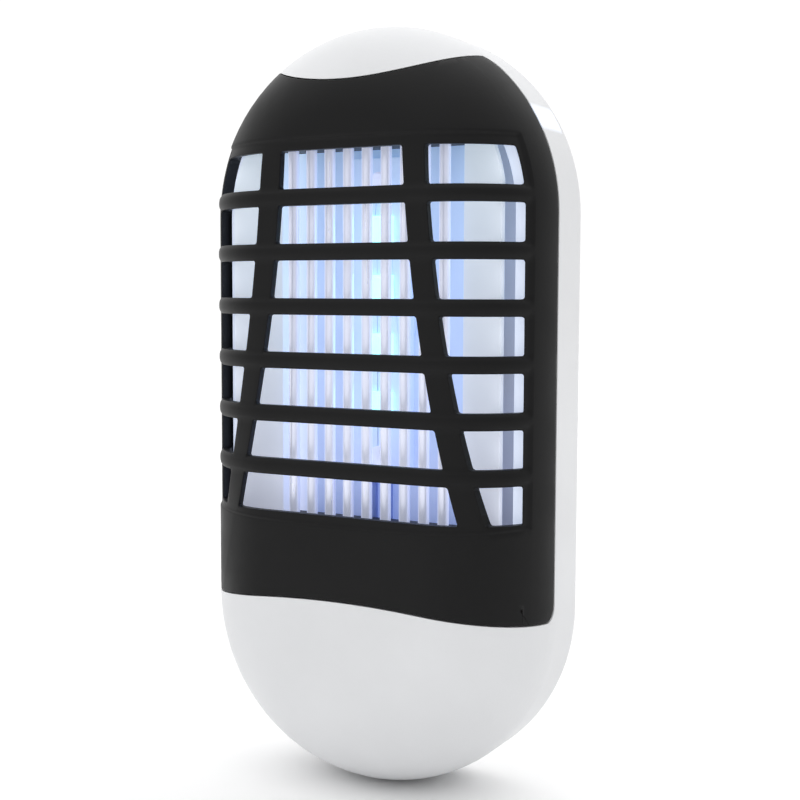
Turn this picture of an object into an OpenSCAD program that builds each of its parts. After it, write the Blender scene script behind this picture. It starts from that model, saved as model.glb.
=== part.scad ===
// Plug-in electric bug zapper: a round-ended box that hangs from its plug blades on a wall outlet.
// The body lies on its back while it is designed: x is across, y is up the body and z is the
// height above the wall plane. standing() then turns each piece upright, so that in the finished
// model +Z is up, the front faces -Y and the origin is the middle of the wall plane.

/* [Body] */
// Width across the flanks
body_w = 68.5; // [68:0.5:70]
// Height over both round ends
body_h = 139; // [138:0.5:142]
// Depth from the wall plane to the front
body_d = 29; // [29:0.5:32]
// Radius of the rounded front edge
edge_r = 18; // [17:0.5:18.5]
// Radius of the rounded rear edge
rear_r = 3; // [2:0.5:3]
// Wall of the housing where it shows
skin_t = 2.2; // [2:0.1:2.2]

/* [Grille cover] */
// Rows of windows
window_rows = 7; // [5:1:7]
// Distance from one row to the next
row_pitch = 9.6; // [9:0.1:9.6]
// Height of one window
window_h = 6.65; // [6:0.05:7]
// Wall of the grille cover
grille_t = 2; // [1.8:0.1:2]
// Depth of the window field below the outer skin
field_drop = 0.45; // [0.2:0.05:0.6]
// Middle of the lower edge, above the body's centre
low_edge = -32.9; // [-34:0.1:-32.8]
// Middle of the upper edge, above the body's centre
up_edge = 58.2; // [57:0.2:58.6]

/* [Grid and lamps] */
// Number of grid bars, live and return in turn
bar_count = 9; // [7:2:9]
// Distance from one bar to the next
bar_pitch = 3.9; // [3.5:0.05:4]
// Diameter of a grid bar
bar_dia = 2; // [1.6:0.1:2]
// Number of ultraviolet lamps
led_count = 4; // [2:1:4]
// Distance from one lamp to the next
led_pitch = 10.7; // [9:0.1:11]

/* [Plug] */
// Width of a blade
blade_w = 6.35; // [6.3:0.05:6.4]
// Thickness of a blade
blade_t = 1.5; // [1.4:0.05:1.6]
// Length of a blade outside the body
blade_l = 17; // [16:0.5:18]
// Distance between the two blades
blade_gap = 12.7; // [12.6:0.1:12.8]
// Height of the plug above the body's centre
plug_y = 8; // [6:1:12]

/* [Switch] */
// Travel of the knob
knob_travel = 3; // [2:0.5:3]

/* [Hidden] */
$fn = 96;
half_w = body_w / 2;
end_y = body_h / 2 - half_w;
// Height of the seam between housing and rear cover, and floor of the rear cover
seam_z = 3.5;
rear_t = 2;
// Inner layer of the housing, which carries the grille cover
liner_out = 2.3;
liner_in = 3.9;
// Where the grille cover ends on the flanks, and the radius of its corners there
flank_seam_z = body_d - 16.5;
zone_r = 3;
zone_low = low_edge - 2.9;
zone_up = up_edge + 4.6;
cover_gap = 0.2;
// Rise of the cover's lower and upper edges at the sides
low_arc_r = arc_radius(half_w, 2.8);
up_arc_r = arc_radius(20.5, 4.4);
// Windows: top of the first row, outer ends, and the two spars between the columns
first_row_top = 46.4;
window_back_z = body_d - 8.6;
field_back_z = body_d - 10.4;
spar_in_x = 11.9;
spar_out_x = 16.1;
spar_r = 268;
// Grid bars and the combs that hold them
bar_z = body_d - 10;
comb_back_z = body_d - 14.8;
comb_front_z = body_d - 7.4;
comb_half = 18.6;
floor_y = -20;
roof_y = 47.4;
comb_h = 4.6;
bus_t = 1.8;
// Reflector
lamp_wall_z = body_d - 17;
shell_t = 1.2;
cheek_foot_z = body_d - 11;
cheek_end_x = 27.4;
reflector_inset = 6.3;
// Lamp board
board_t = 1.6;
led_top_y = 33;
lamp_board_w = 12;
lamp_board_low = -12;
lamp_board_up = 46;
lamp_screw_y = [-8.5, 41.5];
// Insect tray
tray_half = 26;
tray_low = -32.4;
tray_up = -24.8;
tray_back_z = body_d - 11.4;
// Driver board
driver_z = 6;
driver_half = 15;
driver_low = -61;
driver_up = -28;
driver_screws = [[-12, -32], [12, -32], [0, -58.5]];
// Screws
screw_r = 1.25;
pilot_r = 1.3;
clear_r = 1.45;
small_screw_r = 1;
small_pilot_r = 1.05;
housing_screws_at = [[-16, 57.5], [16, 57.5], [-21, -47], [21, -47]];
boss_low_z = seam_z;
// Switch
switch_y = -20.1;
switch_z = 6.5;
knob_len = 5.4;
// Plug: hole and chamfer at the tip, shoulder under the clamp, and how far the blade reaches in
hole_r = 1.6;
hole_from_tip = 4.6;
tip_chamfer = 1.8;
shoulder = 1.2;
shoulder_z = 4;
blade_in = 9.4;
clamp_z = 8;
clamp_screw_x = 13.5;

// Radius of the arc that rises by rise over half_chord on each side
function arc_radius(half_chord, rise) = (half_chord * half_chord + rise * rise) / (2 * rise);
// Place of bar number i across the grid
function bar_x(i) = (i - (bar_count - 1) / 2) * bar_pitch;

module standing() {
    rotate([90, 0, 0]) children();
}

// Box from its low corner to its high corner
module block(low, high) {
    translate(low) cube(high - low);
}

// Turns a half section, drawn as radius and height, into the body's round-ended form
module capsule_form() {
    for (side = [-1, 1]) {
        translate([0, side * end_y, 0]) rotate_extrude() children();
    }
    rotate([90, 0, 0]) linear_extrude(2 * end_y, center = true) {
        children();
        mirror([1, 0]) children();
    }
}

// Half section of the body, moved in by inset and starting at height low
module half_section(inset, low) {
    r = edge_r - inset;
    top = body_d - inset;
    side = half_w - inset;
    translate([0, low]) square([side - r, top - low]);
    translate([0, low]) square([side, top - r - low]);
    translate([side - r, top - r]) intersection() {
        circle(r);
        square(r);
    }
}

module form(inset, low) {
    capsule_form() half_section(inset, low);
}

// Straight-walled capsule between two heights
module prism(inset, low, high) {
    capsule_form() translate([0, low]) square([half_w - inset, high - low]);
}

// Part of the body's skin that the grille cover takes up; a gap makes it larger
module cover_zone(gap) {
    intersection() {
        linear_extrude(body_d + 10) difference() {
            translate([-half_w - 4, low_edge - 8]) square([body_w + 8, up_edge - low_edge + 16]);
            translate([0, low_edge - low_arc_r - gap]) circle(low_arc_r, $fn = 720);
            translate([0, up_edge + up_arc_r + gap]) circle(up_arc_r, $fn = 720);
        }
        rotate([90, 0, 90]) linear_extrude(body_w + 20, center = true) {
            low = zone_low - gap;
            up = zone_up + gap;
            base = flank_seam_z - gap;
            translate([low, base + zone_r]) square([up - low, body_d]);
            translate([low + zone_r, base]) square([up - low - 2 * zone_r, body_d]);
            translate([low + zone_r, base + zone_r]) circle(zone_r);
            translate([up - zone_r, base + zone_r]) circle(zone_r);
        }
    }
}

// Round-headed screw, its head resting at height top and its shank pointing down
module screw(r, length, head_r, head_h) {
    translate([0, 0, -length]) cylinder(length + 0.2, r = r);
    cylinder(head_h, r = head_r);
}

// Insulated wire along a list of points, with round bends
module wire(points, dia) {
    for (i = [0 : len(points) - 2]) {
        step = points[i + 1] - points[i];
        run = norm(step);
        translate(points[i]) rotate([0, acos(step[2] / run), atan2(step[1], step[0])])
            cylinder(run, d = dia, $fn = 24);
    }
    for (i = [1 : len(points) - 2]) {
        translate(points[i]) sphere(d = dia * 1.1, $fn = 24);
    }
}

module housing_bosses() {
    for (at = housing_screws_at) {
        translate([at[0], at[1], boss_low_z]) cylinder(body_d, r = 3);
    }
}

// White housing: both round ends, the flank strips and an inner layer under the grille cover
module front_housing() color("#f2f2f0") standing() {
    difference() {
        union() {
            difference() {
                form(0, seam_z);
                cover_zone(cover_gap);
            }
            form(liner_out, seam_z);
        }
        difference() {
            union() {
                form(liner_in, seam_z - 1);
                difference() {
                    form(skin_t, seam_z - 1);
                    block([-half_w, zone_low - 1.8, 0], [half_w, zone_up + 1.8, body_d + 1]);
                }
            }
            housing_bosses();
        }
        // mouth of the chamber and of the tray
        block([-half_w - 1, tray_low - 0.4, tray_back_z + 0.3], [half_w + 1, roof_y + 6.2, body_d + 1]);
        block([-tray_half - 0.5, tray_low - 0.4, tray_back_z - 1.2], [tray_half + 0.5, tray_up, body_d]);
        // slots for the cover's two tongues
        for (side = [-1, 1]) {
            block([side * 8 - 4.3, 53.7, body_d - 6], [side * 8 + 4.3, 55.6, body_d]);
        }
        // slot for the knob
        block([-half_w - 1, switch_y - 4.5, switch_z - 1.8], [-half_w + 6, switch_y + 4.5, switch_z + 1.8]);
        for (at = housing_screws_at) {
            translate([at[0], at[1], 0]) cylinder(17, r = pilot_r);
        }
    }
}

// White rear cover: dished plate with a rounded rim, a locating lip and the posts
module rear_cover() color("#ededeb") standing() {
    difference() {
        union() {
            intersection() {
                difference() {
                    capsule_form() {
                        square([half_w - rear_r, seam_z]);
                        translate([0, rear_r]) square([half_w, seam_z - rear_r]);
                        translate([half_w - rear_r, rear_r]) circle(rear_r);
                    }
                    prism(skin_t, rear_t, seam_z + 1);
                }
                prism(-1, 0, seam_z);
            }
            difference() {
                prism(4.2, rear_t - 0.5, 5);
                prism(5.4, rear_t - 1, 6);
                for (at = housing_screws_at) {
                    translate([at[0], at[1], boss_low_z]) cylinder(5, r = 3.4);
                }
                block([-half_w, switch_y - 6, seam_z], [-half_w + 11, switch_y + 6, 6]);
            }
            for (at = housing_screws_at) {
                translate([at[0], at[1], rear_t - 1]) cylinder(boss_low_z - rear_t + 1, r = 3.5);
            }
            for (at = driver_screws) {
                translate([at[0], at[1], rear_t - 1]) cylinder(driver_z - rear_t + 1, r = 2.4);
            }
            for (y = lamp_screw_y) {
                translate([0, y, rear_t - 1]) cylinder(lamp_wall_z - shell_t - rear_t + 1, r = 2.8);
            }
            for (side = [-1, 1]) {
                translate([side * clamp_screw_x, plug_y, rear_t - 1]) cylinder(4, r = 2.4);
            }
        }
        for (at = housing_screws_at) {
            translate([at[0], at[1], -1]) cylinder(8, r = clear_r);
            translate([at[0], at[1], -1]) cylinder(3.2, r = 2.7);
        }
        for (at = driver_screws) {
            translate([at[0], at[1], 1]) cylinder(10, r = small_pilot_r);
        }
        for (y = lamp_screw_y) {
            translate([0, y, 3]) cylinder(12, r = small_pilot_r);
        }
        for (side = [-1, 1]) {
            translate([side * clamp_screw_x, plug_y, 1]) cylinder(6, r = small_pilot_r);
            block([side * blade_gap / 2 - blade_t / 2 - 0.05, plug_y - blade_w / 2 - 0.05, -1],
                [side * blade_gap / 2 + blade_t / 2 + 0.05, plug_y + blade_w / 2 + 0.05, 4]);
        }
    }
}

// Row band of the window field, from the top of window row down by height
module row_slab(top, height, low_z) {
    block([-half_w - 2, top - height, low_z], [half_w + 2, top, body_d + 2]);
}

// The three windows of one row, cut straight back to window_back_z
module row_windows(top) {
    translate([0, 0, window_back_z]) linear_extrude(body_d) difference() {
        translate([-half_w - 2, top - window_h]) square([body_w + 4, window_h]);
        for (side = [-1, 1]) {
            difference() {
                translate([side * (spar_in_x + spar_r), up_edge]) circle(spar_r, $fn = 720);
                translate([side * (spar_out_x + spar_r), up_edge]) circle(spar_r, $fn = 720);
            }
        }
    }
}

// Black grille cover: a shell over the front and flanks, with ribs standing between the windows
module grille_cover() color("#262626") standing() {
    rib_h = row_pitch - window_h;
    last_row_low = first_row_top - (window_rows - 1) * row_pitch - window_h;
    difference() {
        intersection() {
            form(0, flank_seam_z - 3);
            cover_zone(0);
        }
        form(grille_t, flank_seam_z - 4);
        difference() {
            row_slab(first_row_top + 2.2, first_row_top - last_row_low + 4.4, field_back_z);
            form(field_drop, flank_seam_z - 4);
            for (row = [1 : window_rows - 1]) {
                top = first_row_top - row * row_pitch + rib_h - 0.25;
                row_slab(top, rib_h - 0.5, 0);
            }
        }
        for (row = [0 : window_rows - 1]) {
            row_windows(first_row_top - row * row_pitch);
        }
    }
    for (side = [-1, 1]) {
        block([side * 8 - 4, 54, body_d - 8], [side * 8 + 4, 55.3, body_d - grille_t + 0.3]);
    }
}

// Black tray behind the cover's lower band: a trough that is open upwards
module insect_tray() color("#2b2b2b") standing() {
    front = body_d - grille_t;
    difference() {
        intersection() {
            block([-tray_half, tray_low, tray_back_z], [tray_half, tray_up, front]);
            form(grille_t + 0.3, 0);
        }
        intersection() {
            block([-tray_half + shell_t, tray_low + shell_t, tray_back_z + shell_t],
                [tray_half - shell_t, tray_up + 1, front - shell_t]);
            form(grille_t + 1.5, 0);
        }
    }
    block([-10, tray_low, front - 0.6], [10, tray_low + 3, front]);
}

// White reflector behind the grid: back wall, sides and cheeks that open out towards the windows
module reflector() color("#e6edf8") standing() {
    low = floor_y - comb_h;
    up = roof_y + comb_h;
    difference() {
        intersection() {
            union() {
                block([-comb_half - 0.2, low - shell_t, lamp_wall_z - shell_t],
                    [comb_half + 0.2, up + shell_t, lamp_wall_z]);
                for (side = [-1, 1]) {
                    translate([0, low, 0]) rotate([90, 0, 0]) mirror([0, 0, 1])
                        linear_extrude(up + shell_t - low) scale([side, 1]) polygon([
                            [comb_half + 0.2, lamp_wall_z - shell_t],
                            [comb_half + 0.2, cheek_foot_z],
                            [cheek_end_x, cheek_foot_z + 3.2],
                            [cheek_end_x, cheek_foot_z + 1.8],
                            [comb_half + 1.4, cheek_foot_z - 1],
                            [comb_half + 1.4, lamp_wall_z - shell_t]]);
                }
                block([-comb_half - 1.4, up, lamp_wall_z - shell_t],
                    [comb_half + 1.4, up + shell_t, cheek_foot_z + 1]);
                block([-comb_half - 1.4, low - shell_t, lamp_wall_z - shell_t],
                    [comb_half + 1.4, low, tray_back_z - 0.5]);
            }
            // rounded off to stay inside the housing and the cover
            prism(reflector_inset, 0, body_d);
        }
        for (y = lamp_screw_y) {
            translate([0, y, 0]) cylinder(body_d, r = small_screw_r + 0.2);
        }
        // passages for the leads
        block([-16, low - shell_t - 1, lamp_wall_z], [6, low + 0.5, lamp_wall_z + 2.2]);
        translate([14, up - 1.5, 0]) cylinder(lamp_wall_z + 1, r = 1.2);
    }
}

// Black insulating comb: bores for every bar and a channel for the bus of every second bar.
// shift picks which bars run on to the bus; the comb is drawn as the lower one.
module comb(shift) {
    deep = floor_y - comb_h;
    difference() {
        block([-comb_half, deep, comb_back_z], [comb_half, floor_y, comb_front_z]);
        for (i = [0 : bar_count - 1]) {
            bus_bar = (i + shift) % 2 == 0;
            translate([bar_x(i), bus_bar ? deep + 0.4 : floor_y - 1.5, bar_z]) rotate([-90, 0, 0])
                cylinder(comb_h + 1, r = bar_dia / 2 + 0.05);
        }
        block([bar_x(0) - 1.7, deep + 0.4, comb_back_z - 1],
            [-bar_x(0) + 1.7, deep + 0.4 + bus_t + 0.2, bar_z - bar_dia / 2 + 0.15]);
    }
}

module lower_comb() color("#1d1d1d") standing() comb(0);

module upper_comb() color("#1d1d1d") standing() {
    translate([0, floor_y + roof_y, 0]) mirror([0, 1, 0]) comb(1);
}

// Every second bar from the first one, with a bus strip across their lower ends
module bar_set(first, low, up, bus_low) {
    for (i = [first : 2 : bar_count - 1]) {
        translate([bar_x(i), low, bar_z]) rotate([-90, 0, 0]) cylinder(up - low, r = bar_dia / 2);
    }
    block([bar_x(0) - 1.5, bus_low, bar_z - bar_dia / 2 - 1.1],
        [-bar_x(0) + 1.5, bus_low + bus_t, bar_z - bar_dia / 2 + 0.1]);
}

module live_bars() color("#e8ecf4") standing() {
    low = floor_y - comb_h + 0.5;
    bar_set(0, low, roof_y + 1.3, low);
}

module return_bars() color("#e8ecf4") standing() {
    up = roof_y + comb_h - 0.5;
    bar_set(1, floor_y - 1.3, up, up - bus_t);
}

// White lamp board on the reflector's back wall
module lamp_board() color("#f4f4f6") standing() {
    difference() {
        block([-lamp_board_w / 2, lamp_board_low, lamp_wall_z],
            [lamp_board_w / 2, lamp_board_up, lamp_wall_z + board_t]);
        for (y = lamp_screw_y) {
            translate([0, y, 0]) cylinder(body_d, r = small_screw_r + 0.2);
        }
    }
}

// Square lamp packages with a shallow round lens each
module uv_lamps() color("#c8fff8") standing() {
    for (i = [0 : led_count - 1]) {
        translate([0, led_top_y - i * led_pitch, lamp_wall_z + board_t]) {
            block([-2.5, -2.5, 0], [2.5, 2.5, 1.4]);
            translate([0, 0, 1.4]) cylinder(0.3, r = 2);
        }
    }
}

module lamp_board_screws() color("silver") standing() {
    for (y = lamp_screw_y) {
        translate([0, y, lamp_wall_z + board_t]) screw(small_screw_r, 9, 1.9, 1.3);
    }
}

// Green driver board, rounded to the lower end of the housing
module driver_board() color("#2f6b3c") standing() {
    difference() {
        intersection() {
            block([-driver_half, driver_low, driver_z], [driver_half, driver_up, driver_z + board_t]);
            translate([0, -end_y, 0]) cylinder(body_d, r = half_w - 4.5);
        }
        for (at = driver_screws) {
            translate([at[0], at[1], 0]) cylinder(body_d, r = small_screw_r + 0.2);
        }
    }
}

module driver_board_screws() color("silver") standing() {
    for (at = driver_screws) {
        translate([at[0], at[1], driver_z + board_t]) screw(small_screw_r, 5.5, 1.9, 1.3);
    }
}

// Box-shaped film capacitor standing on the driver board
module box_capacitor(x, y, size) {
    translate([x - size[0] / 2, y - size[1] / 2, driver_z + board_t]) cube(size);
}

module dropper_capacitor() color("#d9c23a") standing() {
    box_capacitor(-7, -53, [13, 6, 12]);
}

module multiplier_capacitors() color("#b8532f") standing() {
    for (x = [-9, 9], y = [-44.5, -38]) {
        box_capacitor(x, y, [10, 5, 9]);
    }
}

module smoothing_capacitor() color("#23324f") standing() {
    translate([8, -52, driver_z + board_t]) {
        cylinder(12, r = 4);
    }
}

// Part that lies along x on the driver board, with a bent lead at each end
module axial_part(x, y, r, length) {
    z = driver_z + board_t;
    translate([x - length / 2, y, z + r + 0.2]) rotate([0, 90, 0]) cylinder(length, r = r);
    for (side = [-1, 1]) {
        foot = x + side * (length / 2 + 0.5);
        wire([[x + side * (length / 2 - 0.3), y, z + r + 0.2], [foot, y, z + r + 0.2], [foot, y, z]], 0.6);
    }
}

module multiplier_diodes() color("#202022") standing() {
    for (y = [-48.6, -44.8, -41, -37.2]) {
        axial_part(0, y, 1.2, 4.4);
    }
}

module bleed_resistors() color("#b99b6b") standing() {
    for (x = [-5, 5]) {
        axial_part(x, -31.2, 1.1, 5);
    }
}

module fuse_resistor() color("#5f7f58") standing() {
    axial_part(0, -33.8, 1.4, 8);
}

// Two brass blades with a shoulder that the clamp holds, and a hole near the tip
module plug_blades() color("#c9a24a") standing() {
    for (side = [-1, 1]) {
        translate([side * blade_gap / 2, plug_y, 0]) difference() {
            union() {
                block([-blade_t / 2, -blade_w / 2, -blade_l], [blade_t / 2, blade_w / 2, blade_in]);
                block([-blade_t / 2, -blade_w / 2 - shoulder, rear_t],
                    [blade_t / 2, blade_w / 2 + shoulder, shoulder_z]);
            }
            translate([0, 0, -blade_l + hole_from_tip]) rotate([0, 90, 0])
                cylinder(4, r = hole_r, center = true);
            for (edge = [-1, 1]) {
                translate([0, edge * blade_w / 2, -blade_l]) rotate([45, 0, 0])
                    cube([4, tip_chamfer, tip_chamfer], center = true);
            }
        }
    }
}

// Black insulating block that is screwed over the blade shoulders
module blade_clamp() color("#3a3a3c") standing() {
    difference() {
        block([-clamp_screw_x - 3.2, plug_y - 6, rear_t], [clamp_screw_x + 3.2, plug_y + 6, clamp_z]);
        for (side = [-1, 1]) {
            translate([side * blade_gap / 2, plug_y, 0]) {
                block([-blade_t / 2 - 0.05, -blade_w / 2 - 0.05, 0],
                    [blade_t / 2 + 0.05, blade_w / 2 + 0.05, 12]);
                block([-blade_t / 2 - 0.1, -blade_w / 2 - shoulder - 0.1, 0],
                    [blade_t / 2 + 0.1, blade_w / 2 + shoulder + 0.1, shoulder_z]);
            }
            translate([side * clamp_screw_x, plug_y, 0]) cylinder(12, r = small_screw_r + 0.2);
            translate([side * clamp_screw_x, plug_y, 0]) cylinder(5.1, r = 2.6);
        }
    }
}

module clamp_screws() color("silver") standing() {
    for (side = [-1, 1]) {
        translate([side * clamp_screw_x, plug_y, clamp_z]) screw(small_screw_r, 6.5, 1.9, 1.3);
    }
}

// Slide switch behind the left flank, with a slot for the knob's stem
module switch_body() color("#4a4a4e") standing() {
    case_x = -half_w + liner_in;
    difference() {
        block([case_x, switch_y - 5, switch_z - 2.2], [case_x + 5.5, switch_y + 5, switch_z + 2.2]);
        block([-half_w, switch_y - 3.2, switch_z - 1.4], [case_x + 1.5, switch_y + 3.2, switch_z + 1.4]);
    }
    for (y = [-3.5, 0, 3.5]) {
        block([case_x + 5, switch_y + y - 0.6, switch_z - 0.3],
            [case_x + 8, switch_y + y + 0.6, switch_z + 0.3]);
    }
}

// White knob in the flank, drawn at its upper, switched-on place
module switch_knob() color("#dfe3e6") standing() {
    y = switch_y + knob_travel / 2;
    difference() {
        block([-half_w - 1, y - knob_len / 2, switch_z - 1.5],
            [-half_w + 2.4, y + knob_len / 2, switch_z + 1.5]);
        for (groove = [-1.4 : 0.7 : 1.4]) {
            translate([-half_w - 1.1, y + groove, switch_z]) cylinder(4, r = 0.28, center = true, $fn = 24);
        }
    }
    block([-half_w + 2.2, y - 1.3, switch_z - 1.1], [-half_w + liner_in + 1.1, y + 1.3, switch_z + 1.1]);
}

// Long screws from the back through the rear cover into the housing bosses
module housing_screws() color("silver") standing() {
    for (at = housing_screws_at) {
        translate([at[0], at[1], 2.2]) mirror([0, 0, 1]) screw(screw_r, 11, 2.4, 1.6);
    }
}

// Blade to switch, switch to board, and blade to board
module mains_leads() color("#d8d8d8") standing() {
    board_z = driver_z + board_t;
    run_z = 9;
    tag_x = -half_w + liner_in + 8.65;
    blade_x = blade_gap / 2 + blade_t / 2;
    from_y = plug_y - blade_w / 2 + 0.5;
    wire([[-blade_x, from_y, run_z], [tag_x, from_y, run_z], [tag_x, switch_y + 3.5, run_z],
        [tag_x, switch_y + 3.5, switch_z - 0.3]], 1.3);
    wire([[tag_x, switch_y, switch_z - 0.3], [tag_x, switch_y, run_z], [-9.2, switch_y, run_z],
        [-9.2, driver_up - 1.2, run_z], [-9.2, driver_up - 1.2, board_z]], 1.3);
    wire([[blade_x, from_y, run_z], [9, from_y, run_z], [9, driver_up - 1.4, run_z],
        [9, driver_up - 1.4, board_z]], 1.3);
}

// Driver board to the lower bus, and to the upper bus behind the reflector
module grid_leads() color("#b03030") standing() {
    board_z = driver_z + board_t;
    bus_z = bar_z - bar_dia / 2 - 1.1;
    low_y = floor_y - comb_h + 1.4;
    up_y = roof_y + comb_h - 1.4;
    wire([[-6.5, low_y, bus_z], [-6.5, low_y, lamp_wall_z + 1.2], [-6.5, driver_up - 0.9, lamp_wall_z + 1.2],
        [-6.5, driver_up - 0.9, board_z]], 1.3);
    wire([[14, up_y, bus_z], [14, up_y, 9.2], [18, up_y, 9.2], [18, -22, 9.2], [11.8, -22, 9.2],
        [11.8, driver_up - 1.2, 9.2], [11.8, driver_up - 1.2, board_z]], 1.3);
}

// Driver board to the lamp board, through the passage below the lower comb
module lamp_leads() color("#3050a0") standing() {
    board_z = driver_z + board_t;
    lead_z = lamp_wall_z + board_t + 0.6;
    for (side = [-1, 1]) {
        wire([[side * 1.6, lamp_board_low + 1, lead_z], [side * 1.6, lamp_board_low - 1, lead_z],
            [side * 1.6, lamp_board_low - 1, 13.2], [side * 1.6, driver_up - 1.4, 13.2],
            [side * 1.6, driver_up - 1.4, board_z + 0.05]], 1.1);
    }
}

front_housing();
rear_cover();
grille_cover();
insect_tray();
reflector();
upper_comb();
lower_comb();
live_bars();
return_bars();
lamp_board();
uv_lamps();
lamp_board_screws();
driver_board();
driver_board_screws();
dropper_capacitor();
smoothing_capacitor();
multiplier_capacitors();
multiplier_diodes();
bleed_resistors();
fuse_resistor();
plug_blades();
blade_clamp();
clamp_screws();
switch_body();
switch_knob();
housing_screws();
mains_leads();
grid_leads();
lamp_leads();
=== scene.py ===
import math

import bmesh
import bpy
from mathutils import Matrix, Vector


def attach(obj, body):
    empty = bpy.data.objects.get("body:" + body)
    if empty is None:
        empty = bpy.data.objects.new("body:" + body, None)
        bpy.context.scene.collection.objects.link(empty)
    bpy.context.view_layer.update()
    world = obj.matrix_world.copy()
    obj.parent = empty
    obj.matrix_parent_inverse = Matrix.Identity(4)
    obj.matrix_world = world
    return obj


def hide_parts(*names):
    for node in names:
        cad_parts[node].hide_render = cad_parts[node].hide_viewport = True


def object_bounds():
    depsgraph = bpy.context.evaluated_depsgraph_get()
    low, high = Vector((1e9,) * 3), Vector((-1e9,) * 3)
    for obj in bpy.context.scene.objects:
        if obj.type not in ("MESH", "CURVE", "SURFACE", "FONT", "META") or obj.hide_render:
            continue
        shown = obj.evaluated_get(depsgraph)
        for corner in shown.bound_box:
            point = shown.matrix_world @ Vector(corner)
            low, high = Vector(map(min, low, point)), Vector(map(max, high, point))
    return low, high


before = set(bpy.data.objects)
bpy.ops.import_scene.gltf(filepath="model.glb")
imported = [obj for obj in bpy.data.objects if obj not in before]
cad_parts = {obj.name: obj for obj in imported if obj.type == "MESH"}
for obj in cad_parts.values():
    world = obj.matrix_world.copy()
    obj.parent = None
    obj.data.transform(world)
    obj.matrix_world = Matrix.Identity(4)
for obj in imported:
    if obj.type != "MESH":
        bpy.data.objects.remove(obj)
cad_low, cad_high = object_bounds()

# ---- Rear cover ----------------------------------------------------------------------------
# White ABS plate that closes the box towards the wall. It is injection moulded in one piece with
# the posts for the plug, the boards and the reflector, and four long screws hold it on.
MM = 0.001


def colour_of(code):
    """Linear colour, with alpha, of a six-digit paint code."""
    parts = [int(code[i:i + 2], 16) / 255 for i in (0, 2, 4)]
    return [p / 12.92 if p <= 0.04045 else ((p + 0.055) / 1.055) ** 2.4 for p in parts] + [1]


def shade(code, factor):
    """The same colour, lighter or darker."""
    return [min(1, c * factor) for c in colour_of(code)[:3]] + [1]


def new_material(name):
    material = bpy.data.materials.new(name)
    material.use_nodes = True
    tree = material.node_tree
    return material, tree, tree.nodes["Principled BSDF"]


def noise_of(tree, scale, detail=3, stretch=None, seed=0):
    """Noise in the piece's own coordinates, in features per metre; stretch scales each axis."""
    place = tree.nodes.new("ShaderNodeTexCoord")
    mapping = tree.nodes.new("ShaderNodeMapping")
    mapping.inputs["Location"].default_value = (seed * 0.37, seed * 0.71, seed * 0.13)
    mapping.inputs["Scale"].default_value = stretch or (1, 1, 1)
    noise = tree.nodes.new("ShaderNodeTexNoise")
    noise.inputs["Scale"].default_value = scale
    noise.inputs["Detail"].default_value = detail
    tree.links.new(place.outputs["Object"], mapping.inputs["Vector"])
    tree.links.new(mapping.outputs["Vector"], noise.inputs["Vector"])
    return noise.outputs["Fac"]


def ramp_of(tree, source, stops, socket):
    """Colours along a value, fed to a socket."""
    ramp = tree.nodes.new("ShaderNodeValToRGB")
    while len(ramp.color_ramp.elements) < len(stops):
        ramp.color_ramp.elements.new(0.5)
    for element, (position, colour) in zip(ramp.color_ramp.elements, stops):
        element.position = position
        element.color = colour
    tree.links.new(source, ramp.inputs["Fac"])
    tree.links.new(ramp.outputs["Color"], socket)
    return ramp


def spread_of(tree, source, low, high, first, last):
    """Stretches the part of a value from low to high over first to last, and holds it beyond."""
    spread = tree.nodes.new("ShaderNodeMapRange")
    spread.inputs["From Min"].default_value = low
    spread.inputs["From Max"].default_value = high
    spread.inputs["To Min"].default_value = first
    spread.inputs["To Max"].default_value = last
    tree.links.new(source, spread.inputs["Value"])
    return spread.outputs["Result"]


def range_of(tree, source, low, high, socket):
    """Noise stretched to a range of plain numbers, fed to a socket."""
    tree.links.new(spread_of(tree, source, 0.3, 0.7, low, high), socket)


def bump_of(tree, shader, source, depth):
    """Relief of that depth in metres, on top of any relief already there."""
    bump = tree.nodes.new("ShaderNodeBump")
    bump.inputs["Distance"].default_value = depth
    tree.links.new(source, bump.inputs["Height"])
    before = shader.inputs["Normal"].links
    if before:
        tree.links.new(before[0].from_socket, bump.inputs["Normal"])
    tree.links.new(bump.outputs["Normal"], shader.inputs["Normal"])


def moulded(name, code, rough=(0.36, 0.46), grain=1800, relief=0.000012, mottle=0.03, seed=1):
    """Coloured plastic: spark-eroded grain, faint flow marks and slightly uneven gloss."""
    material, tree, shader = new_material(name)
    ramp_of(tree, noise_of(tree, 38, 4, seed=seed), [
        (0.3, shade(code, 1 - mottle)), (0.7, shade(code, 1 + mottle))], shader.inputs["Base Color"])
    range_of(tree, noise_of(tree, 90, 4, seed=seed + 3), rough[0], rough[1],
             shader.inputs["Roughness"])
    bump_of(tree, shader, noise_of(tree, grain, 2, seed=seed + 5), relief)
    shader.inputs["IOR"].default_value = 1.5
    return material


def dress(node, material, edge=0.0, segments=2):
    """Gives a carried-over piece its finish, and takes the sharpness off its edges."""
    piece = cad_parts[node]
    piece.data.materials.clear()
    piece.data.materials.append(material)
    if edge:
        weld = piece.modifiers.new("weld", "WELD")
        weld.merge_threshold = 0.000004
        rounding = piece.modifiers.new("edges", "BEVEL")
        rounding.width = edge
        rounding.segments = segments
        rounding.limit_method = "ANGLE"
        rounding.angle_limit = math.radians(38)
        normals = piece.modifiers.new("normals", "WEIGHTED_NORMAL")
        normals.keep_sharp = False
    return piece


white_plastic = moulded("white_abs", "DFE0E2", seed=2)
dress("rear_cover", white_plastic, 0.2 * MM)

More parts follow.
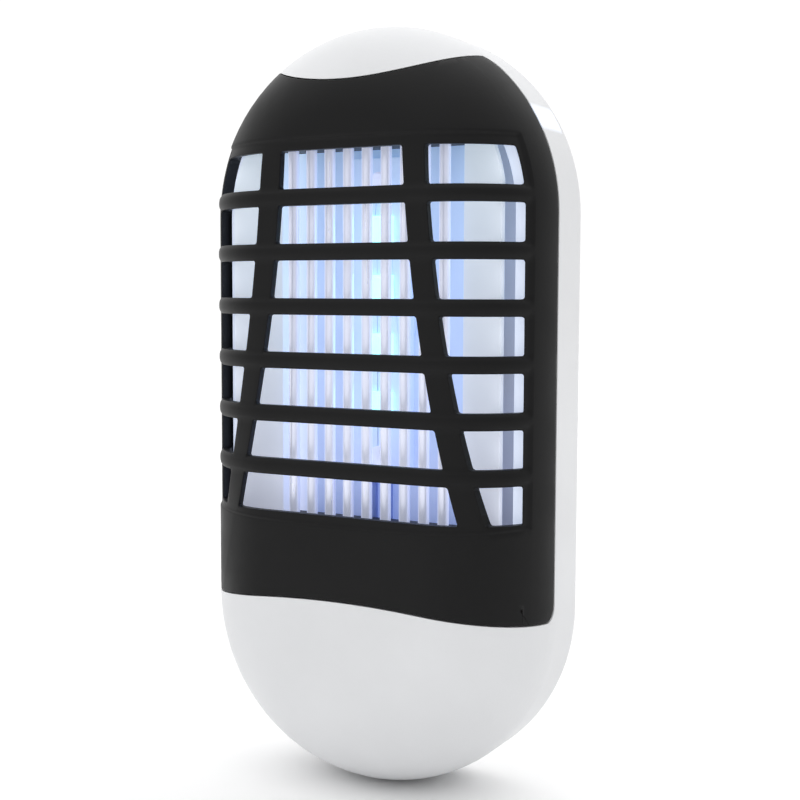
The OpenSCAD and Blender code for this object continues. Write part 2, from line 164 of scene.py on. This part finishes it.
# ---- Plug ----------------------------------------------------------------------------------
# Two stamped brass blades with a chamfered tip and a round hole. Their shoulders sit in slots of
# the rear cover, and a black insulating block is screwed down over them.
def metal(name, code, rough=(0.22, 0.38), scratch=(1, 1, 1), relief=0.000004, mottle=0.06, seed=1):
    """Metal with drawn or rolled streaks along the axis with the smallest stretch."""
    material, tree, shader = new_material(name)
    ramp_of(tree, noise_of(tree, 140, 4, seed=seed), [
        (0.3, shade(code, 1 - mottle)), (0.7, shade(code, 1 + mottle))], shader.inputs["Base Color"])
    streaks = noise_of(tree, 900, 3, scratch, seed + 2)
    range_of(tree, streaks, rough[0], rough[1], shader.inputs["Roughness"])
    bump_of(tree, shader, streaks, relief)
    shader.inputs["Metallic"].default_value = 1.0
    return material


dress("plug_blades", metal("rolled_brass", "D9B568", scratch=(1, 0.06, 1), seed=4), 0.15 * MM)
dress("blade_clamp", moulded("clamp_nylon", "37373A", (0.45, 0.6), seed=6), 0.3 * MM)
screw_steel = metal("zinc_steel", "C9CCD0", (0.25, 0.45), relief=0.000003, seed=7)
dress("clamp_screws", screw_steel, 0.1 * MM)

# ---- Slide switch --------------------------------------------------------------------------
# A small grey slide switch with three tinned tags behind the flank. The white knob stands in a
# slot of the front housing and slides 3 mm up and down; fine ridges give the finger a hold.
dress("switch_body", moulded("switch_nylon", "4C4C50", (0.4, 0.55), seed=8), 0.12 * MM)
dress("switch_knob", moulded("knob_abs", "E4E6E6", (0.3, 0.42), seed=9), 0.08 * MM)

# ---- Driver board --------------------------------------------------------------------------
# Green glass-epoxy board in the lower end: a voltage multiplier for the grid and the lamps'
# supply. Film capacitors, diodes and resistors stand on it, and three screws hold it on posts.
dress("driver_board", moulded("green_board", "2E6A3B", (0.3, 0.42), 2600, 0.00001, 0.08, 11),
      0.1 * MM)
dress("driver_board_screws", screw_steel, 0.1 * MM)
dress("dropper_capacitor", moulded("yellow_case", "D7BE37", (0.28, 0.4), seed=12), 0.5 * MM, 3)
dress("multiplier_capacitors", moulded("red_case", "B5512D", (0.22, 0.36), seed=13), 0.6 * MM, 3)
dress("smoothing_capacitor", moulded("sleeve_blue", "22314D", (0.25, 0.4), seed=14), 0.5 * MM, 3)
dress("multiplier_diodes", moulded("diode_epoxy", "202022", (0.35, 0.5), seed=15), 0.12 * MM)
dress("bleed_resistors", moulded("resistor_tan", "B89A6A", (0.3, 0.45), seed=16), 0.12 * MM)
dress("fuse_resistor", moulded("resistor_green", "5F7F58", (0.4, 0.55), seed=17), 0.12 * MM)

# ---- Leads ---------------------------------------------------------------------------------
# Stranded copper leads in soft PVC: grey for the mains, red for the high voltage of the grid and
# blue for the lamps. They are soldered at both ends.
dress("mains_leads", moulded("pvc_grey", "D2D2D2", (0.4, 0.55), seed=18))
dress("grid_leads", moulded("pvc_red", "AE2F2F", (0.4, 0.55), seed=19))
dress("lamp_leads", moulded("pvc_blue", "8FA4E4", (0.4, 0.55), seed=20))

# ---- Reflector -----------------------------------------------------------------------------
# Vacuum-formed white tray behind the grid. The lamps' light on it is painted on as a glow: blue
# on its back wall, and pale on the sides and the cheeks that open towards the windows.
# Where the painted glow of the lamps' light changes colour: over depth, over height, and paler to
# the sides.
LIT_DEPTHS = (-11.5, -22)
LIT_HEIGHTS = (-26, 53)
PALE_SIDES, SIDE_PALENESS = (15.5, 19), 0.85


def math_of(tree, operation, first, second=None):
    """Plain sum on a value; the second one is a number or another value."""
    step = tree.nodes.new("ShaderNodeMath")
    step.operation = operation
    tree.links.new(first, step.inputs[0])
    if isinstance(second, (int, float)):
        step.inputs[1].default_value = second
    elif second:
        tree.links.new(second, step.inputs[1])
    return step.outputs["Value"]


def axes_of(tree):
    """The piece's own x, y and z as plain values."""
    place = tree.nodes.new("ShaderNodeTexCoord")
    axes = tree.nodes.new("ShaderNodeSeparateXYZ")
    tree.links.new(place.outputs["Object"], axes.inputs["Vector"])
    return axes.outputs


def painted_glow_plastic(name, low_stops, high_stops, glow):
    """White plastic with a painted glow for the lamps' light: colours over its depth, then over its
    height.
    """
    material, tree, shader = new_material(name)
    axes = axes_of(tree)
    depth = spread_of(tree, axes["Y"], LIT_DEPTHS[0] * MM, LIT_DEPTHS[1] * MM, 0, 1)
    beside = math_of(tree, "ABSOLUTE", axes["X"])
    sideways = spread_of(tree, beside, PALE_SIDES[0] * MM, PALE_SIDES[1] * MM, 0, SIDE_PALENESS)
    paler = math_of(tree, "MAXIMUM", depth, sideways)
    mix = tree.nodes.new("ShaderNodeMix")
    mix.data_type = "RGBA"
    tree.links.new(spread_of(tree, axes["Z"], LIT_HEIGHTS[0] * MM, LIT_HEIGHTS[1] * MM, 0, 1),
                   mix.inputs["Factor"])
    ramp_of(tree, paler, low_stops, mix.inputs["A"])
    ramp_of(tree, paler, high_stops, mix.inputs["B"])
    ramp_of(tree, noise_of(tree, 60, 3, seed=20), [
        (0.3, colour_of("DADFEB")), (0.7, colour_of("E6EAF3"))], shader.inputs["Base Color"])
    tree.links.new(mix.outputs["Result"], shader.inputs["Emission Color"])
    shader.inputs["Emission Strength"].default_value = glow
    range_of(tree, noise_of(tree, 90, 4, seed=21), 0.4, 0.55, shader.inputs["Roughness"])
    bump_of(tree, shader, noise_of(tree, 900, 2, seed=22), 0.00001)
    return material


dress("reflector", painted_glow_plastic(
    "reflector_painted_glow",
    [(0.0, colour_of("5F7AC6")), (0.25, colour_of("9DAEE4")), (0.6, colour_of("CDD2F0")),
     (1.0, colour_of("DEE2F6"))],
    [(0.0, colour_of("5C92C4")), (0.25, colour_of("94BCDC")), (0.6, colour_of("BAD6EA")),
     (1.0, colour_of("D2E6F2"))], 0.42), 0.15 * MM)

# ---- Lamps and their board -----------------------------------------------------------------
# White aluminium-core board with four square ultraviolet lamps, each with a low round lens. Two
# small screws hold it through the reflector's back wall on posts of the rear cover.
# The board carries a painted glow for the lamps' light on it, like the reflector.
dress("lamp_board", painted_glow_plastic(
    "lamp_board_painted_glow",
    [(0.0, colour_of("7F96DC")), (1.0, colour_of("B9C6F4"))],
    [(0.0, colour_of("86B0E0")), (1.0, colour_of("BFDDF4"))], 0.45), 0.1 * MM)
lamp_glass, tree, shader = new_material("lamp_glass")
ramp_of(tree, noise_of(tree, 300, 2, seed=24), [
    (0.3, colour_of("B8F8F2")), (0.7, colour_of("D8FFFB"))], shader.inputs["Base Color"])
shader.inputs["Emission Color"].default_value = colour_of("A4F6F0")
shader.inputs["Emission Strength"].default_value = 1.1
dress("uv_lamps", lamp_glass, 0.15 * MM)

# ---- Grid ----------------------------------------------------------------------------------
# Round steel bars, live and return in turn, stand in the blind bores of two black combs. A bus
# strip welded across one end of each set carries the high voltage. The lamps' light on the bars is
# painted on as a glow; the lamp board's two screws stand in the same light and get the same painted
# glow.
def painted_glow_metal(name, code, glow_code, glow, seed):
    material = metal(name, code, (0.25, 0.4), (1, 1, 0.05), seed=seed)
    shader = material.node_tree.nodes["Principled BSDF"]
    shader.inputs["Metallic"].default_value = 0.55
    shader.inputs["Emission Color"].default_value = colour_of(glow_code)
    shader.inputs["Emission Strength"].default_value = glow
    return material


# Steel for the bars and the lamp board's screws, with the lamps' light painted on as a glow.
grid_steel = painted_glow_metal("grid_steel", "E4E6F2", "D0D8F4", 0.38, 25)
dress("lamp_board_screws", grid_steel, 0.1 * MM)
dress("live_bars", grid_steel)
dress("return_bars", grid_steel)
comb_plastic = moulded("comb_black", "161618", (0.45, 0.6), seed=27)
dress("lower_comb", comb_plastic, 0.2 * MM)
dress("upper_comb", comb_plastic, 0.2 * MM)

# ---- Front housing -------------------------------------------------------------------------
# White ABS moulding that makes both round ends and the flank strips. Under the grille cover it
# steps inwards to a liner that carries the cover and frames the mouth of the insect chamber,
# where the lamps' light falling on it is painted on as a glow.
# Strength and zone of the painted glow for the lamps' light on the liner.
LINER_GLOW = 0.75
LIT_ZONE = [("X", 0, 30.6, 0.5), ("Z", 14, 39.5, 1.0)]  # axis, middle, reach either way, fade


def painted_glow_inside(material, zone, glow_code):
    """Painted glow for the lamps' light, on the surfaces that lie inside the zone, fading out at its
    limits.
    """
    tree = material.node_tree
    shader = tree.nodes["Principled BSDF"]
    axes = axes_of(tree)
    glow = None
    for axis, middle, reach, fade in zone:
        away = math_of(tree, "ABSOLUTE", math_of(tree, "SUBTRACT", axes[axis], middle * MM))
        level = spread_of(tree, away, (reach + fade) * MM, reach * MM, 0, LINER_GLOW)
        glow = math_of(tree, "MULTIPLY", glow, level) if glow else level
    tree.links.new(glow, shader.inputs["Emission Strength"])
    shader.inputs["Emission Color"].default_value = colour_of(glow_code)
    return material


white_painted_glow = painted_glow_inside(moulded("white_abs_lit_inside", "DFE0E2", seed=2), LIT_ZONE, "C6D4F0")
dress("front_housing", white_painted_glow, 0.25 * MM)
dress("housing_screws", screw_steel, 0.15 * MM)

# ---- Insect tray ---------------------------------------------------------------------------
# Black trough behind the cover's lower band. It catches what falls off the grid and comes away
# with the cover for emptying.
black_plastic = moulded("black_abs", "0B0B0C", (0.42, 0.52), 1500, 0.00001, 0.05, 29)
black_plastic.node_tree.nodes["Principled BSDF"].inputs["Specular IOR Level"].default_value = 0.2
dress("insect_tray", black_plastic, 0.2 * MM)

# ---- Grille cover --------------------------------------------------------------------------
# One black ABS moulding that wraps the front and both flanks. Seven rows of windows are divided
# by two splayed spars and by barrel-shaped ribs; it snaps in with two tongues at the top.
HALF_WIDTH, DEPTH, EDGE_RADIUS, END_CENTRE = 34.25, 29, 18, 35.25
COVER_WALL, FIELD_DROP = 2.0, 0.45
ROWS, ROW_PITCH, WINDOW_HEIGHT, FIRST_TOP = 7, 9.6, 6.65, 46.4
SPAR_IN, SPAR_OUT, SPAR_SWEEP = 11.9, 16.1, 536
RIB_POWER = 2.6
STEP_MIDDLE, STEP_REACH = -19.5, 31.45
FIELD_TOP = 48.6
FLAT_HALF = HALF_WIDTH - EDGE_RADIUS
CORNER_H = DEPTH - EDGE_RADIUS
SEAM_H, SEAM_RADIUS = 12.5, 3.0
ZONE_LOW, ZONE_UP = -35.8, 62.8
LOW_LINE, HIGH_LINE = -30.0, 50.0
SLOT_END_H, FIELD_END_H = 20.4, 18.6
INNER_SLOT_END_H, INNER_FIELD_END_H = 15.6, 15.0
LOW_EDGE, LOW_ARC = -32.9, 210.9
HIGH_EDGE, HIGH_ARC, HIGH_END_X = 58.2, 49.96, 20.5


def smooth(x):
    """Soft ramp from 0 to 1."""
    x = max(0.0, min(1.0, x))
    return x * x * (3 - 2 * x)


def rise_of(z):
    """How far a height lies beyond the straight part of the body."""
    return max(0.0, abs(z) - END_CENTRE)


def reach_at(forward, radius):
    """Distance of the skin from the body's spine at a height above the wall."""
    if forward <= CORNER_H:
        return FLAT_HALF + radius
    return FLAT_HALF + math.sqrt(radius ** 2 - (forward - CORNER_H) ** 2)


def ends_of(radius):
    """Heights at which windows and window field end, on the outer and on the inner skin."""
    if radius < EDGE_RADIUS:
        return INNER_SLOT_END_H, INNER_FIELD_END_H
    return SLOT_END_H, FIELD_END_H


def across_at(forward, z, radius):
    """Half width of the skin at a height above the wall and a height up the body."""
    return math.sqrt(max(0.0, reach_at(forward, radius) ** 2 - rise_of(z) ** 2))


def unrolled(x, z, radius):
    """Length along the skin from the middle of the face to the place x across, at height z."""
    away = max(1e-6, math.hypot(x, rise_of(z)))
    length = away
    if away > FLAT_HALF:
        length = FLAT_HALF + radius * math.asin(min(1.0, (away - FLAT_HALF) / radius))
    return length * x / away


def rolled(length, z, radius):
    """The place across that lies that length along the skin."""
    low, high = 0.0, FLAT_HALF + radius
    for _ in range(26):
        middle = (low + high) / 2
        if unrolled(middle, z, radius) < length:
            low = middle
        else:
            high = middle
    return low


def skin_point(x, z, radius, forward=None):
    """Place and outward direction, as (across, up, forward), of the skin at x across and z up."""
    rise = rise_of(z)
    away = max(1e-6, math.hypot(x, rise))
    sine = min(1.0, max(0.0, (away - FLAT_HALF) / radius))
    cosine = math.sqrt(1 - sine ** 2)
    if forward is None:
        forward = CORNER_H + radius * cosine
    out = Vector((x / away * sine, math.copysign(rise / away * sine, z), cosine))
    return Vector((x, z, forward)), out


def spar_edge(start, z):
    """Edge of a spar, which sweeps outwards towards the bottom."""
    return start + max(0.0, HIGH_EDGE - z) ** 2 / SPAR_SWEEP


def low_edge(x):
    """Height of the cover's lower edge, an arc that falls towards the flanks."""
    return LOW_EDGE - LOW_ARC + math.sqrt(LOW_ARC ** 2 - min(x, HALF_WIDTH) ** 2)


def high_edge(x):
    """Height of the cover's upper edge, an arc that rises towards the flanks."""
    return HIGH_EDGE + HIGH_ARC - math.sqrt(HIGH_ARC ** 2 - min(x, HIGH_END_X) ** 2)


def step_z(x):
    """Height of the soft step between the window field and the plain lower band."""
    return STEP_MIDDLE + (x / STEP_REACH) ** 2


def drop_at(x, forward, z):
    """How far the outer skin lies below the plain form: the window field, less its ribs."""
    mask = smooth((z - step_z(x) + 0.4) / 0.55) * smooth((FIELD_TOP - z) / 0.6)
    mask *= smooth((forward - FIELD_END_H - 0.1) / 0.7)
    rib = 0.0
    for row in range(ROWS - 1):
        part = (FIRST_TOP - row * ROW_PITCH - WINDOW_HEIGHT - z) / (ROW_PITCH - WINDOW_HEIGHT)
        if 0 < part < 1:
            rib = 1 - abs(2 * part - 1) ** RIB_POWER
    return FIELD_DROP * mask * (1 - rib)


# grid lines across: the features and the shares between them
U_SHARES = [
    [i / 14 for i in range(14)],
    [0, 0.2, 0.5, 0.8],
    [i / 18 for i in range(18)],
    [0, 0.2, 0.4, 0.6, 0.75, 0.88],
    [i / 8 for i in range(9)],
]
u_lines = [(part, share) for part, shares in enumerate(U_SHARES) for share in shares]
I_IN = len(U_SHARES[0])
I_OUT = I_IN + len(U_SHARES[1])
I_SLOT = I_OUT + len(U_SHARES[2])
I_FIELD = I_SLOT + len(U_SHARES[3])

# grid lines upwards: what kind of line it is, and its place
v_lines = [("low", f) for f in (0, 0.12, 0.3, 0.5, 0.75)]
v_lines += [("band", f) for f in (0, 0.25, 0.5, 0.75, 0.9)]
v_lines += [("step", f) for f in (-0.4, -0.29, -0.18, -0.07, 0.04, 0.15)]
window_rows_at = []
for row in reversed(range(ROWS)):
    bottom = FIRST_TOP - row * ROW_PITCH - WINDOW_HEIGHT
    start = len(v_lines)
    v_lines += [("z", bottom + WINDOW_HEIGHT * f) for f in (0, 0.12, 0.3, 0.5, 0.7, 0.88)]
    window_rows_at.append((start, len(v_lines)))
    if row:
        v_lines += [("z", bottom + WINDOW_HEIGHT + d) for d in (0, 0.6, 1.0, 1.475, 1.95, 2.35)]
v_lines += [("z", z) for z in (46.4, 47.1, 47.7, 48.0, 48.15, 48.3, 48.45, 48.6, 49.0)]
v_lines += [("high", f) for f in (0, 0.14, 0.3, 0.45, 0.6, 0.75, 0.88, 1)]


def line_height(kind, value, x):
    """Height of a grid line where it passes x across."""
    if kind == "low":
        return low_edge(x) * (1 - value) + LOW_LINE * value
    if kind == "band":
        return LOW_LINE * (1 - value) + (step_z(x) - 0.4) * value
    if kind == "step":
        return step_z(x) + value
    if kind == "high":
        return HIGH_LINE * (1 - value) + high_edge(x) * value
    return value


def resample(points, count):
    """Evenly spaced points along a polyline."""
    lengths = [0.0]
    for a, b in zip(points, points[1:]):
        lengths.append(lengths[-1] + (b - a).length)
    result = []
    for i in range(count + 1):
        target = lengths[-1] * i / count
        k = 0
        while k < len(points) - 2 and lengths[k + 1] < target:
            k += 1
        share = (target - lengths[k]) / max(1e-9, lengths[k + 1] - lengths[k])
        result.append(points[k].lerp(points[k + 1], share))
    return result


def corner_patch(edge_at, top_h, inner_z, centre_z, side, shares_v, count_u):
    """Flank corner of the cover as a net in (up, forward): [line upwards][line towards the wall]."""
    centre = Vector((centre_z, SEAM_H + SEAM_RADIUS))
    reach = abs(edge_at(SEAM_H + SEAM_RADIUS / 2) - centre_z)
    first = math.acos(min(1.0, reach / SEAM_RADIUS))
    arc = []
    for k in range(25):
        angle = first + (math.pi / 2 - first) * k / 24
        arc.append(centre + SEAM_RADIUS * Vector((side * math.cos(angle), -math.sin(angle))))
    edge = []
    for k in range(6):
        forward = top_h + (arc[0].y - top_h) * k / 6
        edge.append(Vector((edge_at(forward), forward)))
    edge_z = edge[0].x
    edge_points = resample(edge + arc[:10], count_u)
    fine = resample(arc[9:] + [Vector((inner_z, SEAM_H))], 400)
    back_points = [fine[round(400 * share)] for share in shares_v]
    corner = edge_points[-1]
    net = []
    for v, share in enumerate(shares_v):
        line = []
        left = Vector((edge_z * (1 - share) + inner_z * share, top_h))
        right = back_points[v]
        for u in range(count_u + 1):
            f = u / count_u
            low = edge_points[u]
            high = Vector((inner_z, top_h * (1 - f) + SEAM_H * f))
            blend = left * (1 - f) + right * f + low * (1 - share) + high * share
            blend -= (Vector((edge_z, top_h)) * (1 - f) * (1 - share)
                      + corner * f * (1 - share)
                      + Vector((inner_z, top_h)) * (1 - f) * share
                      + Vector((inner_z, SEAM_H)) * f * share)
            line.append(blend)
        net.append(line)
    return net


def cover_point(u, v, radius, patches):
    """Place of grid point u, v on the skin whose corner has that radius, before any drop."""
    part, share = u_lines[u]
    kind, value = v_lines[v]
    if u >= I_FIELD and kind in ("low", "high"):
        up, forward = patches[kind][value][u - I_FIELD]
        return skin_point(across_at(forward, up, radius), up, radius, forward)
    slot_end, field_end = ends_of(radius)
    x, forward = 10.0 + u * 0.4, None
    for _ in range(24):
        z = line_height(kind, value, x)
        if part < 2:
            marks = [0.0, spar_edge(SPAR_IN, z), spar_edge(SPAR_OUT, z)]
            x = marks[part] + (marks[part + 1] - marks[part]) * share
        elif part == 2:
            start = unrolled(spar_edge(SPAR_OUT, z), z, radius)
            end = unrolled(across_at(slot_end, z, radius), z, radius)
            x = rolled(start + (end - start) * share, z, radius)
        else:
            marks = [slot_end, field_end, SEAM_H]
            forward = marks[part - 3] + (marks[part - 2] - marks[part - 3]) * share
            x = across_at(forward, z, radius)
    return skin_point(x, z, radius, forward)


def build_cover():
    mesh = bmesh.new()
    low_shares = [value for kind, value in v_lines if kind == "low"] + [1.0]
    high_shares = [value for kind, value in v_lines if kind == "high"]
    count_u = len(u_lines) - 1 - I_FIELD
    nets = {}
    for radius in (EDGE_RADIUS, EDGE_RADIUS - COVER_WALL):
        def edge_of(curve, guess, radius=radius):
            def edge_at(forward):
                z = guess
                for _ in range(30):
                    z = curve(across_at(forward, z, radius))
                return z
            return edge_at

        top_h = ends_of(radius)[1]
        low_net = corner_patch(edge_of(low_edge, -35.5), top_h, LOW_LINE, ZONE_LOW + SEAM_RADIUS,
                               -1, low_shares, count_u)
        flipped = [1 - share for share in reversed(high_shares)]
        high_net = corner_patch(edge_of(high_edge, 62.0), top_h, HIGH_LINE, ZONE_UP - SEAM_RADIUS,
                                1, flipped, count_u)
        nets[radius] = {
            "low": dict(zip(low_shares, low_net)),
            "high": {share: high_net[flipped.index(1 - share)] for share in high_shares},
        }
    outer, inner = {}, {}
    for u in range(len(u_lines)):
        for v in range(len(v_lines)):
            point, out = cover_point(u, v, EDGE_RADIUS, nets[EDGE_RADIUS])
            if v_lines[v][0] not in ("low", "high"):
                point = point - out * drop_at(point.x, point.z, point.y)
            deep, _ = cover_point(u, v, EDGE_RADIUS - COVER_WALL, nets[EDGE_RADIUS - COVER_WALL])
            for side in ((1, -1) if u else (1,)):
                outer[side * u, v] = mesh.verts.new(
                    (side * point.x * MM, -point.z * MM, point.y * MM))
                inner[side * u, v] = mesh.verts.new(
                    (side * deep.x * MM, -deep.z * MM, deep.y * MM))

    def is_open(u, v):
        middle = u + 0.5
        if not any(start <= v < end for start, end in window_rows_at):
            return False
        return abs(middle) < I_IN or I_OUT < abs(middle) < I_SLOT

    last_u, last_v = len(u_lines) - 1, len(v_lines) - 1
    cells = {(u, v) for u in range(-last_u, last_u) for v in range(last_v) if not is_open(u, v)}
    for u, v in cells:
        ring = [(u, v), (u + 1, v), (u + 1, v + 1), (u, v + 1)]
        mesh.faces.new([outer[p] for p in ring])
        mesh.faces.new([inner[p] for p in reversed(ring)])
        beside = [(u, v - 1), (u + 1, v), (u, v + 1), (u - 1, v)]
        for k in range(4):
            if beside[k] not in cells:
                a, b = ring[k], ring[(k + 1) % 4]
                mesh.faces.new([outer[b], outer[a], inner[a], inner[b]])
    mesh.normal_update()
    corner_edges = []
    for start, end in window_rows_at:
        for u in (I_IN, I_OUT, I_SLOT):
            for side in (1, -1):
                for v in (start, end):
                    edge = mesh.edges.get([outer[side * u, v], inner[side * u, v]])
                    if edge:
                        corner_edges.append(edge)
    bmesh.ops.bevel(mesh, geom=corner_edges, offset=0.45 * MM, offset_type="OFFSET", segments=4,
                    profile=0.5, affect="EDGES", clamp_overlap=False)
    mesh.normal_update()
    rims = [e for e in mesh.edges if len(e.link_faces) == 2 and e.calc_face_angle(0) > 0.9]
    bmesh.ops.bevel(mesh, geom=rims, offset=0.17 * MM, offset_type="OFFSET", segments=2,
                    profile=0.5, affect="EDGES", clamp_overlap=False)
    for x in (-8, 8):
        made = bmesh.ops.create_cube(mesh, size=1.0)["verts"]
        bmesh.ops.scale(mesh, vec=(8 * MM, 6.3 * MM, 1.3 * MM), verts=made)
        bmesh.ops.translate(mesh, vec=(x * MM, -24.15 * MM, 54.65 * MM), verts=made)
    bmesh.ops.recalc_face_normals(mesh, faces=mesh.faces)
    return mesh


def as_piece(mesh, name, body, slot, material, *nodes):
    """Turns a built mesh into a piece of the object that moves with a body."""
    data = bpy.data.meshes.new(name)
    mesh.to_mesh(data)
    mesh.free()
    data.materials.append(material)
    data.polygons.foreach_set("use_smooth", [True] * len(data.polygons))
    piece = bpy.data.objects.new(name, data)
    bpy.context.scene.collection.objects.link(piece)
    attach(piece, body)
    if nodes:
        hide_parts(*nodes)
    return piece


cover = as_piece(build_cover(), "grille_cover_shell", "cover", "black_shell", black_plastic,
                 "grille_cover")
cover.modifiers.new("normals", "WEIGHTED_NORMAL")

# ---- Stage, light and camera ---------------------------------------------------------------
# A pale sweep of floor under a soft white sky, brighter above and behind and dimmer to the right.
# The zapper stands on its lower round end.
SKY = [("Y", -0.4, 0.5, 0.7, 1.03), ("Z", 0.12, 1.0, 0.0, 0.7), ("X", 0.0, 0.7, 0.0, -0.3)]
FLOOR_HALF, CAMERA_ROLL = 3.0, 0.2
floor_data = bpy.data.meshes.new("floor")
floor_mesh = bmesh.new()
bmesh.ops.create_grid(floor_mesh, x_segments=2, y_segments=2, size=FLOOR_HALF)
floor_mesh.to_mesh(floor_data)
floor_mesh.free()
floor = bpy.data.objects.new("floor", floor_data)
floor.location = (0, 0, cad_low.z)
bpy.context.scene.collection.objects.link(floor)
paper, tree, shader = new_material("floor_paper")
ramp_of(tree, noise_of(tree, 6, 2, seed=40), [
    (0.3, (0.95, 0.95, 0.95, 1)), (0.7, (0.96, 0.96, 0.96, 1))], shader.inputs["Base Color"])
shader.inputs["Roughness"].default_value = 0.9
shader.inputs["Specular IOR Level"].default_value = 0.1
floor_data.materials.append(paper)

world = bpy.data.worlds.new("studio")
world.use_nodes = True
tree = world.node_tree
toward = tree.nodes.new("ShaderNodeTexCoord")
axes = tree.nodes.new("ShaderNodeSeparateXYZ")
tree.links.new(toward.outputs["Generated"], axes.inputs["Vector"])
total = None
for axis, low, high, first, last in SKY:
    level = spread_of(tree, axes.outputs[axis], low, high, first, last)
    total = math_of(tree, "ADD", total, level) if total else level
tree.links.new(total, tree.nodes["Background"].inputs["Strength"])
tree.nodes["Background"].inputs["Color"].default_value = (1, 1, 1, 1)
bpy.context.scene.world = world

CAMERA_PLACE = Vector((122.78, -231.03, 21.8)) * MM
CAMERA_TARGET = Vector((-3.63, 0.14, 0.74)) * MM
camera_data = bpy.data.cameras.new("camera")
camera_data.lens = 61.1
camera_data.sensor_width = 36
camera_data.clip_start = 0.01
camera = bpy.data.objects.new("camera", camera_data)
camera.location = CAMERA_PLACE
look = (CAMERA_TARGET - CAMERA_PLACE).to_track_quat("-Z", "Y").to_matrix()
camera.rotation_euler = (look @ Matrix.Rotation(math.radians(CAMERA_ROLL), 3, "Z")).to_euler()
bpy.context.scene.collection.objects.link(camera)
bpy.context.scene.camera = camera
bpy.context.scene.view_settings.view_transform = "Standard"
